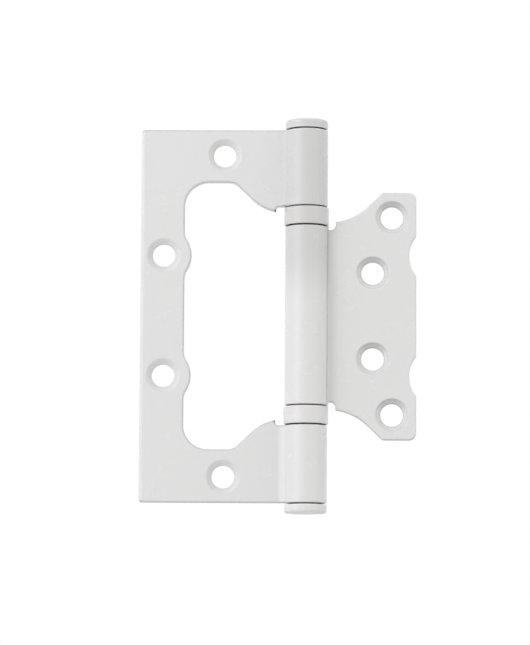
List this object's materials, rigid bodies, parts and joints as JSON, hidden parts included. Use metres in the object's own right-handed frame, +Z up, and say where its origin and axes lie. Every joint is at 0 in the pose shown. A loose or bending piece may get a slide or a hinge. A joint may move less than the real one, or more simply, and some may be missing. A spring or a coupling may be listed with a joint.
{
  "type": "non-mortise hinge",
  "caption": "Non-mortise ball-bearing door hinge: a windowed frame leaf and a nesting door leaf on one pin, white powder coat, open flat.",
  "frame": {"origin": "on the frame leaf's back face, halfway between that leaf's two inner screw holes, at mid-height; the pin's axis is 38.7 mm along +X and 1.25 mm along -Y", "axes": "+Z up the pin, +X across the open hinge from the frame leaf to the door leaf, +Y out of both leaves' backs, so the countersinks face -Y"},
  "size_m": [0.0748, 0.0121, 0.107],
  "materials": {
    "leaf_paint": "satin powder coat",
    "collar_paint": "satin powder coat",
    "pin_steel": "ground steel",
    "race_steel": "hardened, oiled",
    "ball_steel": "polished",
    "cage_brass": "plain"
  },
  "bodies": {
    "frame": {"frame_leaf": "leaf_paint", "hinge_pin": "pin_steel", "top_cap": "leaf_paint", "bottom_cap": "leaf_paint", "upper_bearing_collar": "collar_paint", "upper_fixed_race": "race_steel", "lower_bearing_collar": "collar_paint", "lower_fixed_race": "race_steel"},
    "door": {"door_leaf": "leaf_paint", "upper_turning_race": "race_steel", "lower_turning_race": "race_steel"},
    "upper_balls": {"upper_ball_cage": "cage_brass", "upper_bearing_balls": "ball_steel"},
    "lower_balls": {"lower_ball_cage": "cage_brass", "lower_bearing_balls": "ball_steel"}
  },
  "joints": [
    {"name": "door_swing", "type": "hinge", "parent": "frame", "child": "door", "pos_m": [0.0387, -0.00125, 0], "axis": [0, 0, 1], "range_deg": [-180, 90]},
    {"name": "upper_balls_turn", "type": "hinge", "parent": "frame", "child": "upper_balls", "pos_m": [0.0387, -0.00125, 0.02707], "axis": [0, 0, 1], "range_deg": [-90, 45]},
    {"name": "lower_balls_turn", "type": "hinge", "parent": "frame", "child": "lower_balls", "pos_m": [0.0387, -0.00125, -0.02707], "axis": [0, 0, 1], "range_deg": [-90, 45]}
  ],
  "couplings": [
    {"joint": "upper_balls_turn", "follows": "door_swing", "ratio": 0.5},
    {"joint": "lower_balls_turn", "follows": "door_swing", "ratio": 0.5}
  ]
}
